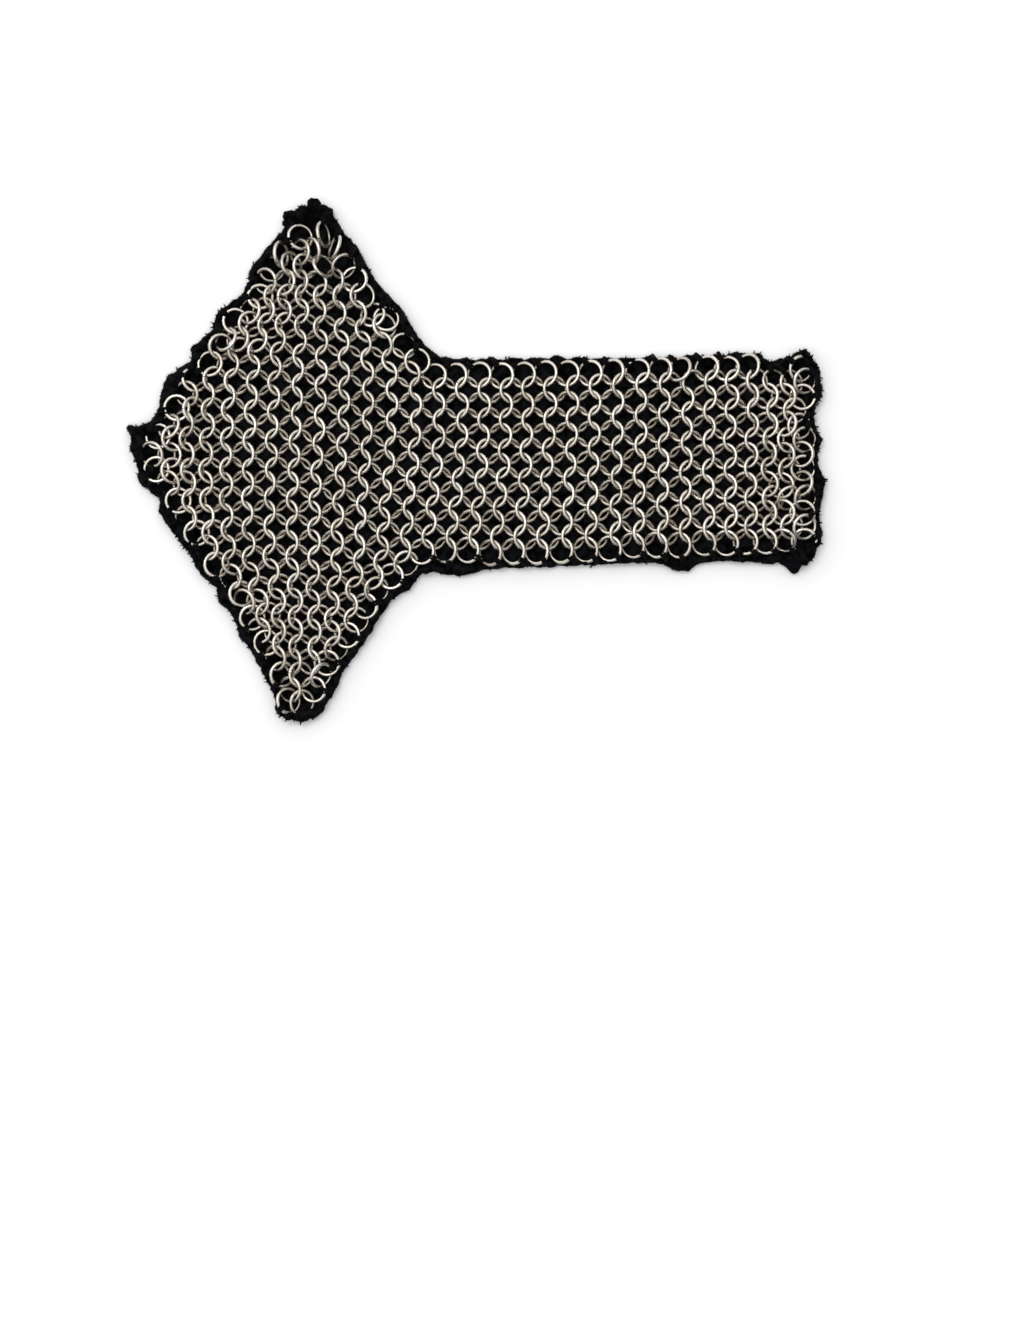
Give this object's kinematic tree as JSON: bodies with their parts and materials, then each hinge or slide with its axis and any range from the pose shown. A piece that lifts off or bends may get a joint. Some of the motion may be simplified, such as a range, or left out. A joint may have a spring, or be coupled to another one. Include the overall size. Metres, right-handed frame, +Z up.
{
  "type": "cloth-backed chainmail armour panel",
  "caption": "Arrow-shaped armour panel: linked steel ring mail sewn to a black pile cloth backing whose border is turned up over the outer rings.",
  "frame": {"origin": "on the surface that the panel lies on, under the middle of its box", "axes": "+X along the strap, away from the arrowhead; +Y across the strap; +Z up, out of the mail's face"},
  "size_m": [0.304, 0.2282, 0.0076],
  "materials": {
    "black_cloth": "matte short pile",
    "steel_rings": "polished bare wire, slightly warm"
  },
  "bodies": {
    "root": {"backing_cloth": "black_cloth", "mail_row_01": "steel_rings", "mail_row_02": "steel_rings", "mail_row_03": "steel_rings", "mail_row_04": "steel_rings", "mail_row_05": "steel_rings", "mail_row_06": "steel_rings", "mail_row_07": "steel_rings", "mail_row_08": "steel_rings", "mail_row_09": "steel_rings", "mail_row_10": "steel_rings", "mail_row_11": "steel_rings", "mail_row_12": "steel_rings", "mail_row_13": "steel_rings", "mail_row_14": "steel_rings", "mail_row_15": "steel_rings", "mail_row_16": "steel_rings", "mail_row_17": "steel_rings", "mail_row_18": "steel_rings", "mail_row_19": "steel_rings", "mail_row_20": "steel_rings", "mail_row_21": "steel_rings", "mail_row_22": "steel_rings", "mail_row_23": "steel_rings", "mail_row_24": "steel_rings", "mail_row_25": "steel_rings", "mail_row_26": "steel_rings", "mail_row_27": "steel_rings", "mail_row_28": "steel_rings", "mail_row_29": "steel_rings", "mail_row_30": "steel_rings", "mail_row_31": "steel_rings", "mail_row_32": "steel_rings"}
  },
  "joints": []
}
